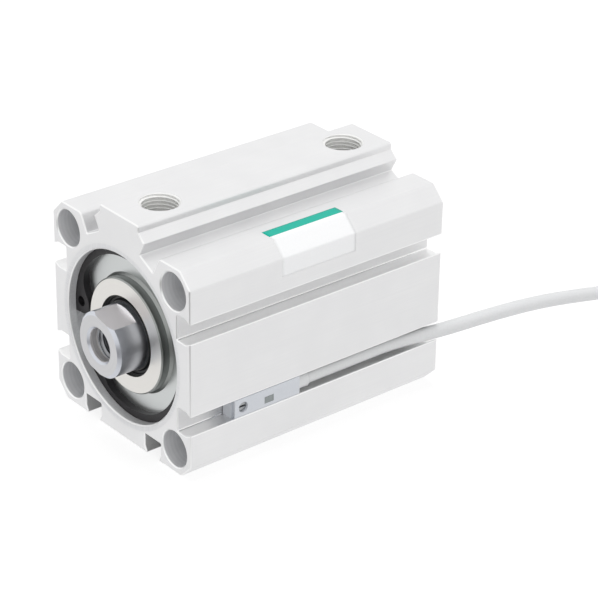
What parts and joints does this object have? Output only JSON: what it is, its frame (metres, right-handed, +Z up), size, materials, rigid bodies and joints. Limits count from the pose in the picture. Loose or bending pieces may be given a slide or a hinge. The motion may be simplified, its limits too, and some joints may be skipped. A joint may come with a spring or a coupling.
{
  "type": "compact pneumatic cylinder",
  "caption": "Compact pneumatic cylinder with a slotted square body, tapped rod end, top ports and a magnetic position switch with cable in a side slot.",
  "frame": {"origin": "on the rod axis, in the plane of the body's front face", "axes": "-Y out of the body along the rod, +Z up towards the ports, +X to the side that holds the switch"},
  "size_m": [0.0586, 0.2294, 0.057],
  "materials": {
    "anodised_aluminium": "satin clear anodised",
    "turned_aluminium": "turned",
    "piston_aluminium": "turned",
    "ground_steel": "ground and chrome plated",
    "spring_steel": "black phosphated",
    "black_rubber": "matte",
    "bearing_bronze": "turned",
    "bonded_magnet": "matte",
    "guide_plastic": "matte",
    "switch_plastic": "fine grain",
    "screw_steel": "plain",
    "indicator_plastic": "clear",
    "circuit_board": "varnished",
    "potting_resin": "smooth",
    "cable_jacket": "matte",
    "tie_plastic": "matte",
    "core_brown": "smooth",
    "core_blue": "smooth",
    "copper": "bright"
  },
  "bodies": {
    "barrel": {"cylinder_body": "anodised_aluminium", "rod_cover": "turned_aluminium", "rod_bush": "bearing_bronze", "rod_seal": "black_rubber", "rod_cover_o_ring": "black_rubber", "rod_cover_snap_ring": "spring_steel", "head_cover": "turned_aluminium", "head_cover_o_ring": "black_rubber"},
    "piston_seals": {"piston_seal": "black_rubber", "wear_ring": "guide_plastic"},
    "rod": {"piston_rod": "ground_steel", "piston_front": "piston_aluminium", "piston_rear": "piston_aluminium", "magnet_ring": "bonded_magnet", "piston_o_ring": "black_rubber", "front_bumper": "black_rubber", "rear_bumper": "black_rubber"},
    "switch": {"switch_housing": "switch_plastic", "switch_set_screw": "screw_steel", "switch_lens": "indicator_plastic", "switch_circuit_board": "circuit_board", "switch_potting": "potting_resin", "cable_boot": "cable_jacket", "switch_cable": "cable_jacket", "cable_coil": "cable_jacket", "coil_tie": "tie_plastic", "cable_tail": "cable_jacket", "core_brown": "core_brown", "core_blue": "core_blue", "bare_strands": "copper"}
  },
  "joints": [
    {"name": "rod_slide", "type": "slide", "parent": "barrel", "child": "piston_seals", "axis": [0, -1, 0], "range_m": [0, 0.035]},
    {"name": "rod_turn", "type": "hinge", "parent": "piston_seals", "child": "rod", "pos_m": [0, 0, 0], "axis": [0, -1, 0], "continuous": true},
    {"name": "switch_slide", "type": "slide", "parent": "barrel", "child": "switch", "axis": [0, 1, 0], "range_m": [-0.01, 0.035]}
  ]
}
